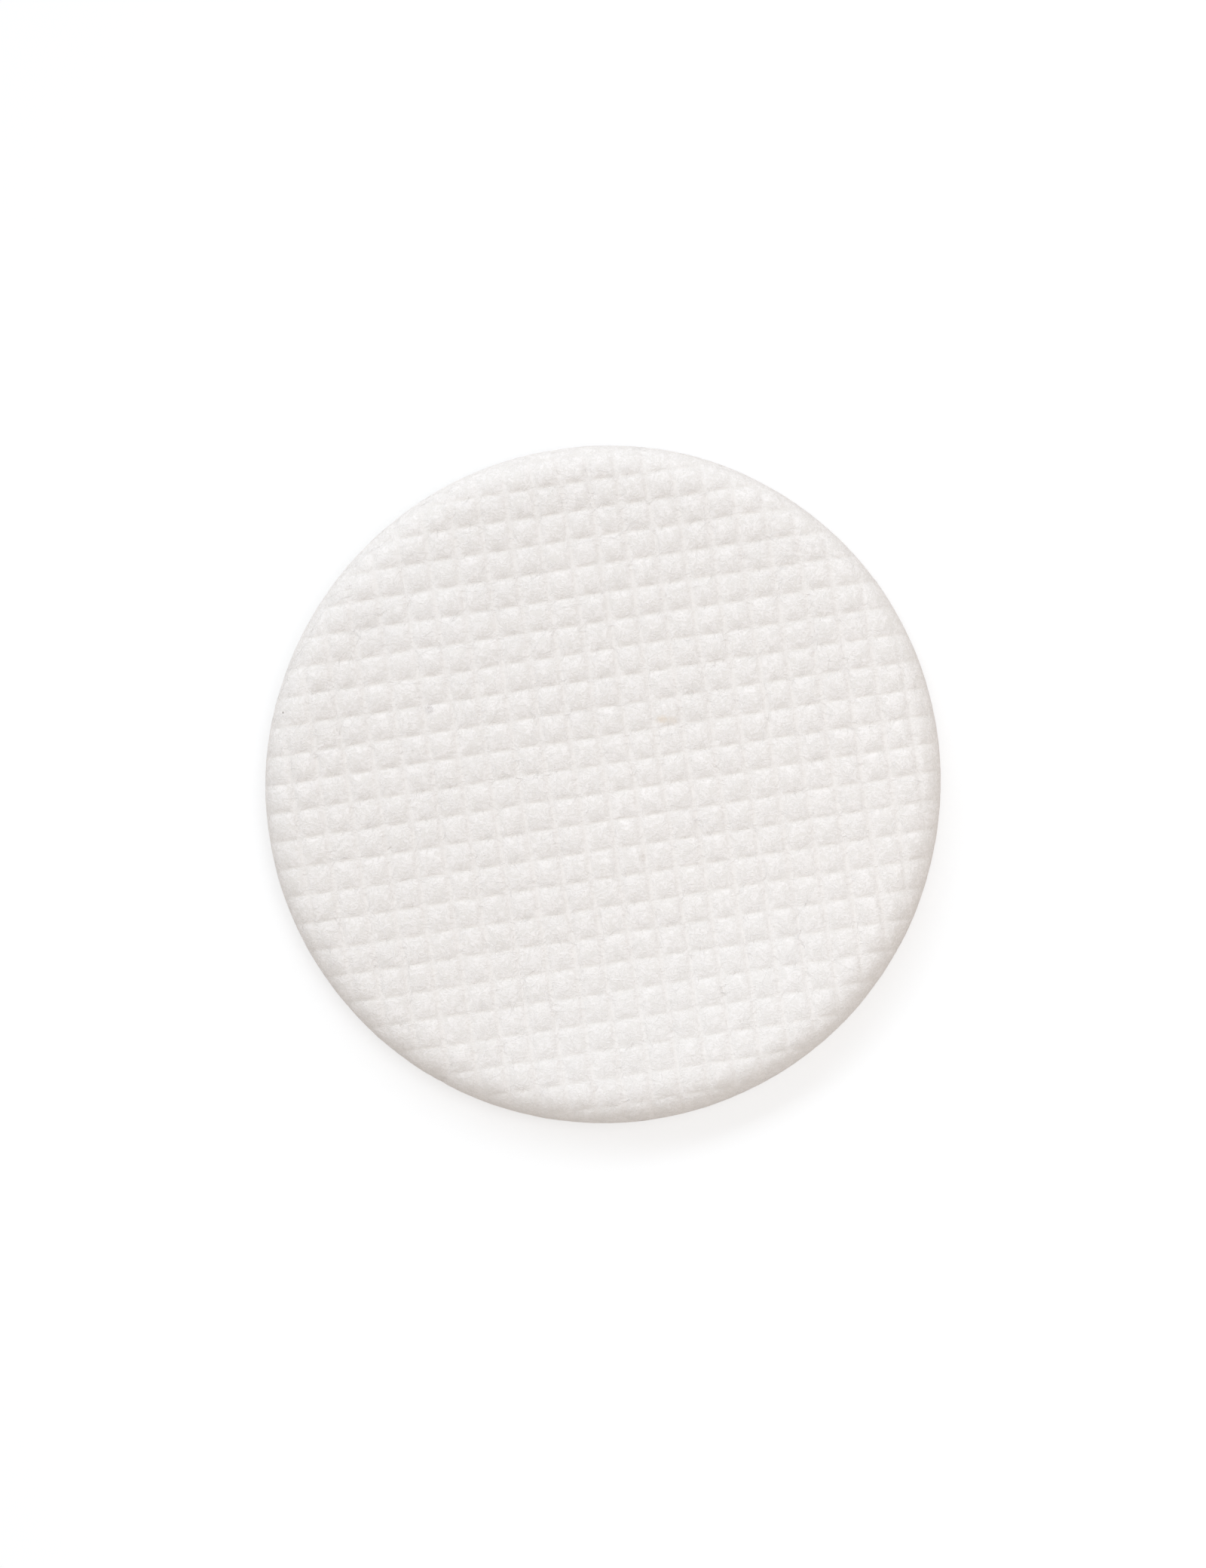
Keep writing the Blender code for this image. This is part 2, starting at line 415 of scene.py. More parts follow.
@dataclass
class PadBlank:
    """The plain pad before it is embossed: a disc with a rolled rim and a flat underside.

    Its mesh is cut flat, as a disc of the section's length, along lines that crowd together at the
    grooves of the embossed grid. The disc is then wrapped round the section, so its cells keep
    their size down the rim. The die that cuts the pad leaves it a touch out of round.
    """

    radius: float
    thickness: float
    rim_height: float = 1.6 * MM
    top_roll_width: float = 3.2 * MM
    top_roll_fullness: float = 2.3  # 2 is a quarter of an ellipse, and more is squarer
    under_roll_width: float = 1.8 * MM
    roll_steps: int = 60
    pitch: float = 2.5 * MM
    column_cuts: tuple[float, ...] = (0, 0.05, 0.1, 0.17, 0.27, 0.38, 0.5, 0.62, 0.73, 0.83, 0.9, 0.95)
    row_cuts: tuple[float, ...] = (0, 0.05, 0.11, 0.19, 0.28, 0.39, 0.5, 0.61, 0.72, 0.81, 0.89, 0.95)
    under_cell: float = 1.0 * MM
    weld: float = 0.02 * MM
    cut_tolerance: float = 0.002 * MM
    grid_turn: float = math.radians(8.6)
    crossing: tuple[float, float] = (0.19 * MM, -0.74 * MM)
    outline_segments: int = 720
    oval: float = 0.11 * MM
    oval_bearing: float = math.radians(59.5)
    three_lobes: float = 0.057 * MM

    def section(self) -> np.ndarray:
        """Work out the section.

        Returns:
            Its radii and heights, from the middle of the top to the foot's edge.
        """
        angles = np.linspace(0, math.pi / 2, self.roll_steps)
        out = np.sin(angles) ** (2 / self.top_roll_fullness)
        rise = np.cos(angles) ** (2 / self.top_roll_fullness)
        top = np.stack([
            self.radius - self.top_roll_width + self.top_roll_width * out,
            self.rim_height + (self.thickness - self.rim_height) * rise], axis=1)
        under = np.stack([
            self.radius - self.under_roll_width + self.under_roll_width * np.cos(angles),
            self.rim_height * (1 - np.sin(angles))], axis=1)
        return np.concatenate([[[0.0, self.thickness]], top, under[1:]])

    def axes(self) -> tuple[Vector, Vector]:
        """Return the directions of the grid's rows and columns."""
        cos, sin = math.cos(self.grid_turn), math.sin(self.grid_turn)
        return Vector((cos, sin, 0)), Vector((-sin, cos, 0))

    def bulge(self, place: Vector) -> float:
        """Return how far the outline stands out of a true circle in the direction of a place."""
        bearing = math.atan2(place.y, place.x)
        return (self.oval * math.cos(2 * (bearing - self.oval_bearing))
                - self.three_lobes * math.cos(3 * bearing))

    def cut(
        self, disc: bmesh.types.BMesh, faces: list[bmesh.types.BMFace], reach: float, pitch: float,
        cuts: tuple[tuple[float, ...], tuple[float, ...]] = ((0.0,), (0.0,)),
    ) -> None:
        """Cut flat faces along the grid.

        Args:
            disc: The mesh that holds the faces.
            faces: The faces to cut.
            reach: How far the faces reach from the middle.
            pitch: How far apart the cuts repeat.
            cuts: Where the cuts lie in one pitch, as shares of it, across the rows and the columns.
        """
        for axis, start, shares in zip(self.axes(), self.crossing, cuts):
            ahead, behind = faces, []
            steps = range(-math.ceil(reach / pitch) - 1, math.ceil(reach / pitch) + 1)
            for distance in (start + (step + share) * pitch for step in steps for share in shares):
                edges = {edge for face in ahead for edge in face.edges}
                verts = {vert for face in ahead for vert in face.verts}
                geometry = bmesh.ops.bisect_plane(
                    disc, geom=ahead + list(edges) + list(verts), dist=self.cut_tolerance,
                    plane_co=axis * distance, plane_no=axis)["geom"]
                ahead = []
                for item in geometry:
                    if isinstance(item, bmesh.types.BMFace):
                        beyond = item.calc_center_median().dot(axis) > distance
                        (ahead if beyond else behind).append(item)
            faces = behind + ahead

    def mesh(self) -> bpy.types.Mesh:
        """Make the blank.

        Returns:
            One closed mesh.
        """
        section = self.section()
        lengths = np.concatenate([[0.0], np.cumsum(np.linalg.norm(np.diff(section, axis=0), axis=1))])
        reach = float(lengths[-1])
        disc = bmesh.new()
        bmesh.ops.create_circle(disc, cap_ends=True, segments=self.outline_segments, radius=reach)
        self.cut(disc, list(disc.faces), reach, self.pitch, (self.column_cuts, self.row_cuts))
        bmesh.ops.remove_doubles(disc, verts=disc.verts, dist=self.weld)
        for vert in disc.verts:
            along = vert.co.xy.length
            out = float(np.interp(along, lengths, section[:, 0]))
            if along > 0:
                vert.co.xy *= (out + self.bulge(vert.co.xy) * (out / self.radius) ** 2) / along
            vert.co.z = float(np.interp(along, lengths, section[:, 1]))
        bmesh.ops.recalc_face_normals(disc, faces=disc.faces)
        if max(disc.faces, key=lambda face: face.calc_center_median().z).normal.z < 0:
            bmesh.ops.reverse_faces(disc, faces=disc.faces)
        edge = [item for item in disc.edges if item.is_boundary]
        foot = bmesh.ops.contextual_create(disc, geom=edge)["faces"]
        self.cut(disc, foot, self.radius, self.under_cell)
        bmesh.ops.recalc_face_normals(disc, faces=disc.faces)
        for face in disc.faces:
            face.smooth = True
        mesh = bpy.data.meshes.new("pad_blank")
        disc.to_mesh(mesh)
        disc.free()
        return mesh


@dataclass(frozen=True)
class Dent:
    """A small round nick or hollow in the wadding."""

    place: tuple[float, float]
    radius: float
    depth: float


@dataclass
class Embossing:
    """The grid of pillows that the rolls press into the blank, and the wadding's own unevenness.

    Rows meet in a sharp crease, which fades out beside the strips. Columns are parted by a narrow
    flat strip. Both die away where the rim turns down. The rows' lean is the share by which their
    creases are deeper at the right and the top of the outline than in the middle. The crease and
    the strip's blur are measured in shares of a pitch.
    """

    blank: PadBlank
    row_depth: float = 0.205 * MM
    column_depth: float = 0.245 * MM
    strip_width: float = 0.25 * MM
    row_flank: float = 2.15
    column_flank: float = 3.3
    pillow_roundness: float = 2.3
    row_lean: tuple[float, float] = (-0.12, 0.34)
    strip_fade: float = 4.0
    rim_fade: float = 1.5
    strip_blur: float = 0.05
    crease_width: float = 0.1
    wander: float = 0.3 * MM
    wander_size: float = 6.0 * MM
    pillow_unevenness: float = 0.05 * MM
    swell: float = 0.19 * MM
    swell_size: float = 13.0 * MM
    lump: float = 0.06 * MM
    lump_size: float = 1.2 * MM
    felt: float = 0.055 * MM
    felt_size: float = 0.45 * MM
    seed: float = 7.0
    dents: tuple[Dent, ...] = (
        Dent((-19.0 * MM, -5.66 * MM), 0.4 * MM, 0.05 * MM),
        Dent((3.5 * MM, -6.58 * MM), 0.6 * MM, 0.06 * MM),
        Dent((-14.2 * MM, -26.2 * MM), 0.5 * MM, 0.16 * MM),
    )

    def tree(self, values: dict[str, Any]) -> bpy.types.NodeTree:
        """Build the geometry tree that presses the pillows and makes the wadding uneven.

        Args:
            values: The tree's named inputs, with the values that they will get.

        Returns:
            The tree.
        """
        tree, given = new_geometry_tree("embossing", values)
        add = partial(add_node, tree)
        place = add("GeometryNodeInputPosition")
        normal = add("GeometryNodeInputNormal").outputs["Normal"]

        # Where a point lies in its pillow
        back = add("ShaderNodeMath", {0: given["Grid Turn"], 1: -1.0}, operation="MULTIPLY")
        turned, turned_normal = (
            add("ShaderNodeVectorRotate", {"Vector": value, "Angle": back}, rotation_type="Z_AXIS")
            for value in (place, normal))
        on_grid = add("ShaderNodeVectorMath", {0: turned, 1: given["Crossing"]}, operation="SUBTRACT")
        per_metre = add("ShaderNodeMath", {0: 1.0, 1: given["Pitch"]}, operation="DIVIDE")
        cells = add("ShaderNodeVectorMath", {0: on_grid, "Scale": per_metre}, operation="SCALE")
        cell = add("ShaderNodeSeparateXYZ", {0: cells}).outputs
        across, along = (
            add("ShaderNodeMath", {0: cell[axis], 1: 0.5}, operation="PINGPONG") for axis in "XY")

        # A strip that runs along the rim is drawn flat by its roll, and one that crosses it isn't
        outward = add("ShaderNodeSeparateXYZ", {0: turned_normal}).outputs["X"]
        tipped = add("ShaderNodeMath", {0: outward, 1: outward}, operation="MULTIPLY")
        untipped = add("ShaderNodeMath", {0: 1.0, 1: tipped}, operation="SUBTRACT")
        strip_left = add("ShaderNodeMath", {0: untipped, 1: given["Strip Fade"]}, operation="POWER")

        # The pillow's arch across the columns, beyond the flat strip, and along them
        strip_share = add("ShaderNodeMath", {
            0: given["Strip Width"], 1: per_metre}, operation="MULTIPLY")
        strip_edge = add("ShaderNodeMath", {0: strip_share, 1: 0.5}, operation="MULTIPLY")
        short_across = add("ShaderNodeMapRange", {
            "Value": across, "From Min": strip_edge, "From Max": 0.5, "To Min": 1.0, "To Max": 0.0})
        full_fall = add("ShaderNodeMath", {
            0: short_across, 1: given["Column Flank"]}, operation="POWER")
        fall_across = add("ShaderNodeMath", {0: full_fall, 1: strip_left}, operation="MULTIPLY")
        rise_across = add("ShaderNodeMath", {0: 1.0, 1: fall_across}, operation="SUBTRACT")
        short_along = add("ShaderNodeMapRange", {
            "Value": along, "From Max": 0.5, "To Min": 1.0, "To Max": 0.0})
        fall_along = add("ShaderNodeMath", {0: short_along, 1: given["Row Flank"]}, operation="POWER")

        # How far the rolls press each point down, and how full each pillow springs back
        full_rounding = add("ShaderNodeMath", {
            0: short_across, 1: given["Pillow Roundness"]}, operation="POWER")
        rounding = add("ShaderNodeMath", {0: full_rounding, 1: strip_left}, operation="MULTIPLY")
        rounded = add("ShaderNodeMath", {0: 1.0, 1: rounding}, operation="SUBTRACT")
        row_share = add("ShaderNodeMath", {0: fall_along, 1: rounded}, operation="MULTIPLY")
        lean = add("ShaderNodeVectorMath", {0: place, 1: given["Row Lean"]}, operation="DOT_PRODUCT")
        row_depth = add("ShaderNodeMath", {
            0: lean, 1: given["Row Depth"], 2: given["Row Depth"]}, operation="MULTIPLY_ADD")
        row_fall = add("ShaderNodeMath", {0: row_share, 1: row_depth}, operation="MULTIPLY")
        fall = add("ShaderNodeMath", {
            0: fall_across, 1: given["Column Depth"], 2: row_fall}, operation="MULTIPLY_ADD")
        which = add("ShaderNodeVectorMath", {0: cells}, operation="FLOOR")
        lot = add("ShaderNodeTexWhiteNoise", {
            "Vector": which, "W": given["Seed"]}, noise_dimensions="4D")
        lot_even = add("ShaderNodeMath", {0: lot, 1: 0.5}, operation="SUBTRACT")
        crown = add("ShaderNodeMath", {0: rise_across, 1: row_share}, operation="SUBTRACT")
        spread = add("ShaderNodeMath", {0: crown, 1: given["Pillow Unevenness"]}, operation="MULTIPLY")
        fullness = add("ShaderNodeMath", {0: lot_even, 1: spread}, operation="MULTIPLY")
        pressed = add("ShaderNodeMath", {0: fullness, 1: fall}, operation="SUBTRACT")
        facing = add("ShaderNodeSeparateXYZ", {0: normal}).outputs["Z"]
        upward = add("ShaderNodeMath", {0: facing, 1: 0.0}, operation="MAXIMUM")
        level = add("ShaderNodeMath", {0: upward, 1: given["Rim Fade"]}, operation="POWER")
        height = add("ShaderNodeMath", {0: pressed, 1: level}, operation="MULTIPLY")

        # Unevenness of the wadding, from the pad's slow swell to the felted surface
        for label, detail in (("Swell", 1.0), ("Lump", 2.0), ("Felt", 3.0)):
            scale = add("ShaderNodeMath", {0: 1.0, 1: given[f"{label} Size"]}, operation="DIVIDE")
            noise = add("ShaderNodeTexNoise", {
                "Vector": place, "W": given["Seed"], "Scale": scale, "Detail": detail},
                noise_dimensions="4D")
            centred = add("ShaderNodeMath", {0: noise, 1: 0.5}, operation="SUBTRACT")
            height = add("ShaderNodeMath", {
                0: centred, 1: given[label], 2: height}, operation="MULTIPLY_ADD")
        for dent in self.dents:
            apart = add("ShaderNodeVectorMath", {0: place, 1: (*dent.place, 0.0)}, operation="SUBTRACT")
            flat = add("ShaderNodeVectorMath", {0: apart, 1: LEVEL_PART}, operation="MULTIPLY")
            distance = add("ShaderNodeVectorMath", {0: flat}, operation="LENGTH")
            hollow = add("ShaderNodeMapRange", {
                "Value": distance, "From Max": dent.radius, "To Min": -dent.depth, "To Max": 0.0},
                interpolation_type="SMOOTHSTEP")
            height = add("ShaderNodeMath", {0: height, 1: hollow}, operation="ADD")
        pushed = add("ShaderNodeVectorMath", {0: normal, "Scale": height}, operation="SCALE")

        # The grid's lines wander a little, as they do in any soft web, but not the pad's outline
        wander_scale = add("ShaderNodeMath", {0: 1.0, 1: given["Wander Size"]}, operation="DIVIDE")
        drift = add("ShaderNodeTexNoise", {
            "Vector": place, "W": given["Seed"], "Scale": wander_scale}, noise_dimensions="4D")
        even = add("ShaderNodeVectorMath", {
            0: drift.outputs["Color"], 1: NOISE_MEAN}, operation="SUBTRACT")
        sideways = add("ShaderNodeVectorMath", {0: even, 1: LEVEL_PART}, operation="MULTIPLY")
        loose = add("ShaderNodeMath", {0: level, 1: given["Wander"]}, operation="MULTIPLY")
        wandering = add("ShaderNodeVectorMath", {0: sideways, "Scale": loose}, operation="SCALE")
        moved = add("ShaderNodeVectorMath", {0: pushed, 1: wandering}, operation="ADD")

        # What the finish needs to know: which points lie on a strip, where it smooths the grain and paints
        # the strips' light and shade, and which in a crease, where it paints shade
        strip_end = add("ShaderNodeMath", {0: strip_edge, 1: given["Strip Blur"]}, operation="ADD")
        strip_tone = add("ShaderNodeMath", {0: level, 1: strip_left}, operation="MULTIPLY")
        strip = add("ShaderNodeMapRange", {
            "Value": across, "From Min": strip_edge, "From Max": strip_end, "To Min": strip_tone,
            "To Max": 0.0}, interpolation_type="SMOOTHSTEP")
        # The creases' share, where the finish paints shade
        fold = add("ShaderNodeMapRange", {
            "Value": along, "From Max": given["Crease Width"], "To Min": level, "To Max": 0.0})
        crease = add("ShaderNodeMath", {0: fold, 1: rise_across}, operation="MULTIPLY")
        shape = given["Geometry"]
        for label, value in (("strip", strip), ("crease", crease)):
            shape = add("GeometryNodeStoreNamedAttribute", {
                "Geometry": shape, "Name": label, "Value": value})
        shape = add("GeometryNodeSetPosition", {"Geometry": shape, "Offset": moved})

        # Nothing sinks below the floor that the pad lies on
        reached = add("ShaderNodeSeparateXYZ", {0: add("GeometryNodeInputPosition")}).outputs
        floor = add("ShaderNodeMath", {0: reached["Z"], 1: 0.0}, operation="MAXIMUM")
        lifted = add("ShaderNodeCombineXYZ", {"X": reached["X"], "Y": reached["Y"], "Z": floor})
        shape = add("GeometryNodeSetPosition", {"Geometry": shape, "Position": lifted})
        finish_geometry_tree(tree, shape, given["Material"])
        return tree

    def press(self, piece: bpy.types.Object, material: bpy.types.Material) -> None:
        """Emboss a piece that holds the blank's mesh.

        Args:
            piece: The piece to emboss.
            material: The finish that it gets.
        """
        lean = (share / self.blank.radius for share in self.row_lean)
        values = {
            **sizes_of(self), "Pitch": self.blank.pitch, "Grid Turn": self.blank.grid_turn,
            "Crossing": (*self.blank.crossing, 0.0), "Row Lean": (*lean, 0.0), "Material": material}
        run_geometry_tree(piece, self.tree(values), values)


class Side(Enum):
    """The sides of the pad, each with the range of the upward part of its surface's normal."""

    FACE = (0.8, 1.01)
    RIM = (-0.9, 0.8)
    UNDERSIDE = (-1.01, -0.9)


@dataclass
class LooseFibres:
    """Single fibres that lie curled on one side of the wadding and follow its surface.

    A fibre's own length is a random share of the length given, between the shortest and the longest.
    """

    side: Side
    fibres_per_square_metre: float
    seed: int
    length: float = 5.0 * MM
    shortest: float = 0.4
    longest: float = 1.3
    curl: float = 2.4 * MM
    curl_size: float = 2.6 * MM
    lift: float = 0.015 * MM
    lift_size: float = 1.6 * MM
    lift_range: tuple[float, float] = (0.45, 0.75)
    thickness: float = 0.019 * MM
    clearance: float = 0.1  # from the surface to a fibre's middle, in thicknesses
    taper: float = 0.7
    taper_bluntness: float = 4.0
    points: int = 12
    sides: int = 3

    def tree(self, values: dict[str, Any]) -> bpy.types.NodeTree:
        """Build the geometry tree that scatters the fibres over the mesh that it is given.

        Args:
            values: The tree's named inputs, with the values that they will get.

        Returns:
            The tree.
        """
        tree, given = new_geometry_tree("loose_fibres", values)
        add = partial(add_node, tree)
        pad = given["Geometry"]
        place = add("GeometryNodeInputPosition")
        normal = add("GeometryNodeInputNormal").outputs["Normal"]

        # A straight strand at each scattered point, turned at random within the surface
        facing = add("ShaderNodeSeparateXYZ", {0: normal}).outputs["Z"]
        over = add("ShaderNodeMath", {0: facing, 1: given["Lowest Facing"]}, operation="GREATER_THAN")
        under = add("ShaderNodeMath", {0: facing, 1: given["Highest Facing"]}, operation="LESS_THAN")
        on_side = add("ShaderNodeMath", {0: over, 1: under}, operation="MULTIPLY")
        roots = add("GeometryNodeDistributePointsOnFaces", {
            "Mesh": pad, "Selection": on_side, "Density": given["Fibres Per Square Metre"],
            "Seed": given["Seed"]}).outputs
        line = add("GeometryNodeCurvePrimitiveLine", {
            "Start": (-0.5, 0.0, 0.0), "End": (0.5, 0.0, 0.0)})
        strand = add("GeometryNodeResampleCurve", {"Curve": line, "Count": given["Points"]})
        bearing = add("FunctionNodeRandomValue", {
            2: 0.0, 3: 2 * math.pi, 8: given["Seed"]}, data_type="FLOAT")
        turn = add("FunctionNodeAxisAngleToRotation", {"Axis": (0.0, 0.0, 1.0), "Angle": bearing})
        rotation = add("FunctionNodeRotateRotation", {
            0: roots["Rotation"], 1: turn}, rotation_space="LOCAL")
        share = add("FunctionNodeRandomValue", {
            2: given["Shortest"], 3: given["Longest"], 8: given["Seed"]}, data_type="FLOAT")
        size = add("ShaderNodeMath", {0: share, 1: given["Length"]}, operation="MULTIPLY")
        strands = add("GeometryNodeInstanceOnPoints", {
            "Points": roots["Points"], "Instance": strand, "Rotation": rotation, "Scale": size})
        loose = add("GeometryNodeRealizeInstances", {"Geometry": strands})

        # Each strand curls in its own way
        index = add("GeometryNodeCurveOfPoint").outputs["Curve Index"]
        curl_scale = add("ShaderNodeMath", {0: 1.0, 1: given["Curl Size"]}, operation="DIVIDE")
        curls = add("ShaderNodeTexNoise", {
            "Vector": place, "W": index, "Scale": curl_scale, "Detail": 1.5}, noise_dimensions="4D")
        even = add("ShaderNodeVectorMath", {
            0: curls.outputs["Color"], 1: NOISE_MEAN}, operation="SUBTRACT")
        bent = add("ShaderNodeVectorMath", {0: even, "Scale": given["Curl"]}, operation="SCALE")
        loose = add("GeometryNodeSetPosition", {"Geometry": loose, "Offset": bent})

        # It lies on the nearest surface, and lifts off it here and there
        nearest, outward = (
            add("GeometryNodeSampleNearestSurface", {
                "Mesh": pad, "Value": value, "Sample Position": place}, data_type="FLOAT_VECTOR")
            for value in (place, normal))
        lift_scale = add("ShaderNodeMath", {0: 1.0, 1: given["Lift Size"]}, operation="DIVIDE")
        lifts = add("ShaderNodeTexNoise", {
            "Vector": place, "W": index, "Scale": lift_scale}, noise_dimensions="4D")
        arch = add("ShaderNodeMapRange", {
            "Value": lifts, "From Min": self.lift_range[0], "From Max": self.lift_range[1],
            "To Max": given["Lift"]})
        clear = add("ShaderNodeMath", {
            0: given["Thickness"], 1: given["Clearance"], 2: arch}, operation="MULTIPLY_ADD")
        offset = add("ShaderNodeVectorMath", {0: outward, "Scale": clear}, operation="SCALE")
        laid_at = add("ShaderNodeVectorMath", {0: nearest, 1: offset}, operation="ADD")
        at = add("ShaderNodeSeparateXYZ", {0: laid_at}).outputs
        radius = add("ShaderNodeMath", {0: given["Thickness"], 1: 0.5}, operation="MULTIPLY")
        resting = add("ShaderNodeMath", {0: at["Z"], 1: radius}, operation="MAXIMUM")
        rested_at = add("ShaderNodeCombineXYZ", {"X": at["X"], "Y": at["Y"], "Z": resting})
        laid = add("GeometryNodeSetPosition", {"Geometry": loose, "Position": rested_at})

        # A fibre is thinner towards its ends, and turns a flat side outwards
        inward = add("ShaderNodeVectorMath", {0: outward, "Scale": -1.0}, operation="SCALE")
        turned = add("GeometryNodeSetCurveNormal", {"Curve": laid, "Normal": inward}, mode="FREE")
        factor = add("GeometryNodeSplineParameter").outputs["Factor"]
        from_start = add("ShaderNodeMath", {0: factor, 1: 2.0, 2: -1.0}, operation="MULTIPLY_ADD")
        from_middle = add("ShaderNodeMath", {
            0: from_start, 1: given["Taper Bluntness"]}, operation="POWER")
        narrowed = add("ShaderNodeMath", {0: from_middle, 1: given["Taper"]}, operation="MULTIPLY")
        breadth = add("ShaderNodeMath", {0: 1.0, 1: narrowed}, operation="SUBTRACT")
        profile = add("GeometryNodeCurvePrimitiveCircle", {
            "Resolution": given["Sides"], "Radius": radius})
        tubes = add("GeometryNodeCurveToMesh", {
            "Curve": turned, "Profile Curve": profile, "Scale": breadth, "Fill Caps": True})
        smooth = add("GeometryNodeSetShadeSmooth", {"Geometry": tubes})
        finish_geometry_tree(tree, smooth, given["Material"])
        return tree

    def build(self, wadding: bpy.types.Object, material: bpy.types.Material) -> bpy.types.Object:
        """Lay the fibres on the embossed wadding.

        Args:
            wadding: The wadding's finished piece.
            material: The finish of the fibres.

        Returns:
            The piece that holds all the fibres of this side.
        """
        piece = add_object(f"loose_fibres_{self.side.name.lower()}", wadding.data.copy())
        lowest, highest = self.side.value
        values = {
            **sizes_of(self), "Lowest Facing": lowest, "Highest Facing": highest, "Material": material}
        run_geometry_tree(piece, self.tree(values), values)
        return piece


@dataclass
class Nep:
    """A nep, which is a tiny coil of tangled fibre that carding left in the web."""

    place: tuple[float, float]
    inner_radius: float = 0.16 * MM
    outer_radius: float = 0.42 * MM
    turns: float = 3.0
    rise: float = 0.03 * MM
    tangle: float = 0.16 * MM
    tangle_size: float = 0.35 * MM
    thickness: float = 0.035 * MM
    points: int = 60
    sides: int = 5

    def tree(self, values: dict[str, Any]) -> bpy.types.NodeTree:
        """Build the geometry tree that winds the coil and lays it on the mesh that it is given.

        Args:
            values: The tree's named inputs, with the values that they will get.

        Returns:
            The tree.
        """
        tree, given = new_geometry_tree("nep", values)
        add = partial(add_node, tree)
        coil = add("GeometryNodeCurveSpiral", {
            "Resolution": given["Points"], "Rotations": given["Turns"],
            "Start Radius": given["Inner Radius"], "End Radius": given["Outer Radius"], "Height": 0.0})
        factor = add("GeometryNodeSplineParameter").outputs["Factor"]
        here = add("GeometryNodeInputPosition")
        scale = add("ShaderNodeMath", {0: 1.0, 1: given["Tangle Size"]}, operation="DIVIDE")
        knots = add("ShaderNodeTexNoise", {
            "Vector": here, "W": factor, "Scale": scale}, noise_dimensions="4D")
        even = add("ShaderNodeVectorMath", {
            0: knots.outputs["Color"], 1: NOISE_MEAN}, operation="SUBTRACT")
        tangled = add("ShaderNodeVectorMath", {0: even, "Scale": given["Tangle"]}, operation="SCALE")
        bent = add("GeometryNodeSetPosition", {"Geometry": coil, "Offset": tangled})
        moved = add("GeometryNodeSetPosition", {"Geometry": bent, "Offset": given["Place"]})

        # The coil settles on the wadding, and its inner turns lie on top
        nearest = add("GeometryNodeSampleNearestSurface", {
            "Mesh": given["Geometry"], "Value": here, "Sample Position": here}, data_type="FLOAT_VECTOR")
        left = add("ShaderNodeMath", {0: 1.0, 1: factor}, operation="SUBTRACT")
        height = add("ShaderNodeMath", {0: left, 1: given["Rise"]}, operation="MULTIPLY")
        up = add("ShaderNodeCombineXYZ", {"Z": height})
        settled_at = add("ShaderNodeVectorMath", {0: nearest, 1: up}, operation="ADD")
        settled = add("GeometryNodeSetPosition", {"Geometry": moved, "Position": settled_at})
        radius = add("ShaderNodeMath", {0: given["Thickness"], 1: 0.5}, operation="MULTIPLY")
        profile = add("GeometryNodeCurvePrimitiveCircle", {
            "Resolution": given["Sides"], "Radius": radius})
        tube = add("GeometryNodeCurveToMesh", {
            "Curve": settled, "Profile Curve": profile, "Fill Caps": True})
        smooth = add("GeometryNodeSetShadeSmooth", {"Geometry": tube})
        finish_geometry_tree(tree, smooth, given["Material"])
        return tree

    def build(self, wadding: bpy.types.Object, material: bpy.types.Material) -> bpy.types.Object:
        """Lay the nep on the embossed wadding.

        Args:
            wadding: The wadding's finished piece.
            material: The finish of the fibre.

        Returns:
            The nep's piece.
        """
        piece = add_object("nep", wadding.data.copy())
        top = max(corner[2] for corner in wadding.bound_box)
        values = {**sizes_of(self), "Place": (*self.place, top), "Material": material}
        run_geometry_tree(piece, self.tree(values), values)
        return piece


@dataclass
class CottonPad:
    """The whole pad: its embossed wadding, and the loose fibres and the nep on it."""

    low: Vector
    high: Vector

    def wadding(self) -> bpy.types.Object:
        """Make the embossed disc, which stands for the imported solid.

        Returns:
            The disc's piece.
        """
        blank = PadBlank(radius=(self.high.x - self.low.x) / 2, thickness=self.high.z - self.low.z)
        piece = add_object("pad_wadding", blank.mesh())
        Embossing(blank).press(piece, BleachedWadding().material())
        return piece

    def build(self) -> list[bpy.types.Object]:
        """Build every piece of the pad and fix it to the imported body.

        Returns:
            The pieces.
        """
        wadding = self.wadding()
        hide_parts(PAD_NODE)
        lint = CottonLint().material()
        fibres = (
            LooseFibres(Side.FACE, fibres_per_square_metre=1.02e6, seed=3),
            LooseFibres(Side.RIM, fibres_per_square_metre=1.02e6, seed=5),
            LooseFibres(Side.UNDERSIDE, fibres_per_square_metre=0.5e6, seed=8, lift=0.0),
        )
        nep = Nep(place=(-15.42 * MM, 6.67 * MM))
        pieces = [wadding] + [group.build(wadding, lint) for group in (*fibres, nep)]
        for piece in pieces:
            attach(piece, PAD_BODY)
        return pieces


